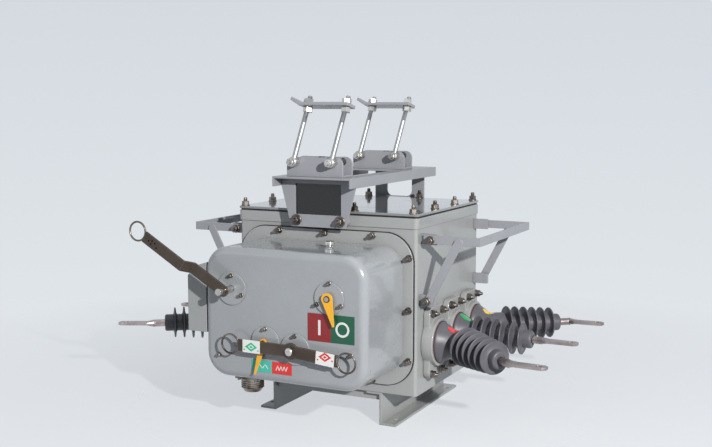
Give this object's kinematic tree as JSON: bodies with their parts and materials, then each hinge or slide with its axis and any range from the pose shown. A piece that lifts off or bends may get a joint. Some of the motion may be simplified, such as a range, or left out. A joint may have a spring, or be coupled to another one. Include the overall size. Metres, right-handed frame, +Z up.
{
  "type": "outdoor vacuum circuit breaker",
  "caption": "Pole-top vacuum circuit breaker: steel tank with shed bushings on both sides, mechanism hood with handles and pointers, and a hanging bracket with clamps.",
  "frame": {"origin": "midway between the two feet, on the ground, at the centre of the four foot holes", "axes": "+X to the right along the front, +Y from the mechanism's front towards the back, +Z up"},
  "size_m": [1.1323, 0.7715, 0.7802],
  "materials": {
    "grey_paint": "satin light grey paint",
    "hood_paint": "glossy light grey paint",
    "bracket_paint": "satin bluish grey paint",
    "seal_rubber": "matt black",
    "plate_enamel": "printed plate",
    "dark_panel": "glossy near-black",
    "silicone": "satin dark grey silicone",
    "bright_steel": "bright stainless",
    "tinned_copper": "tinned, slightly dull",
    "bronze_paint": "satin bronze brown",
    "white_label": "printed label",
    "yellow_paint": "glossy yellow"
  },
  "bodies": {
    "breaker": {"tank": "grey_paint", "top_cover": "grey_paint", "gaskets": "seal_rubber", "mechanism_flange": "grey_paint", "mechanism_housing": "hood_paint", "shaft_bosses": "hood_paint", "indicator_plates": "plate_enamel", "breather": "bright_steel", "cable_connector": "bright_steel", "side_box": "hood_paint", "left_bushing_flanges": "grey_paint", "right_bushing_flanges": "grey_paint", "left_side_frame": "bracket_paint", "right_side_frame": "bracket_paint", "frame_tabs": "bracket_paint", "left_foot": "grey_paint", "right_foot": "grey_paint", "cross_members": "grey_paint", "hanging_bracket": "bracket_paint", "front_leg": "bracket_paint", "rear_leg": "bracket_paint", "name_panel": "dark_panel", "front_saddle": "bracket_paint", "rear_saddle": "bracket_paint", "front_clamp_rods": "bright_steel", "rear_clamp_rods": "bright_steel", "front_clamp_bar": "bracket_paint", "rear_clamp_bar": "bracket_paint", "left_front_insulator": "silicone", "left_front_terminal": "tinned_copper", "left_middle_insulator": "silicone", "left_middle_terminal": "tinned_copper", "left_rear_insulator": "silicone", "left_rear_terminal": "tinned_copper", "right_front_insulator": "silicone", "right_front_terminal": "tinned_copper", "right_middle_insulator": "silicone", "right_middle_terminal": "tinned_copper", "right_rear_insulator": "silicone", "right_rear_terminal": "tinned_copper"},
    "charging_lever": {"charging_lever": "bronze_paint"},
    "operating_handle": {"operating_handle": "bronze_paint", "handle_labels": "white_label"},
    "position_pointer": {"position_pointer": "yellow_paint"},
    "charge_pointer": {"charge_pointer": "yellow_paint"}
  },
  "joints": [
    {"name": "charging_lever_swing", "type": "hinge", "parent": "breaker", "child": "charging_lever", "pos_m": [-0.132, -0.445, 0.341], "axis": [0, -1, 0], "range_deg": [-8, 75]},
    {"name": "operating_handle_swing", "type": "hinge", "parent": "breaker", "child": "operating_handle", "pos_m": [0.034, -0.43, 0.2165], "axis": [0, 1, 0], "range_deg": [-20, 20]},
    {"name": "position_pointer_swing", "type": "hinge", "parent": "breaker", "child": "position_pointer", "pos_m": [0.12, -0.418, 0.3385], "axis": [0, 1, 0], "range_deg": [-10, 40]},
    {"name": "charge_pointer_swing", "type": "hinge", "parent": "breaker", "child": "charge_pointer", "pos_m": [-0.043, -0.418, 0.2255], "axis": [0, -1, 0], "range_deg": [0, 40]}
  ]
}
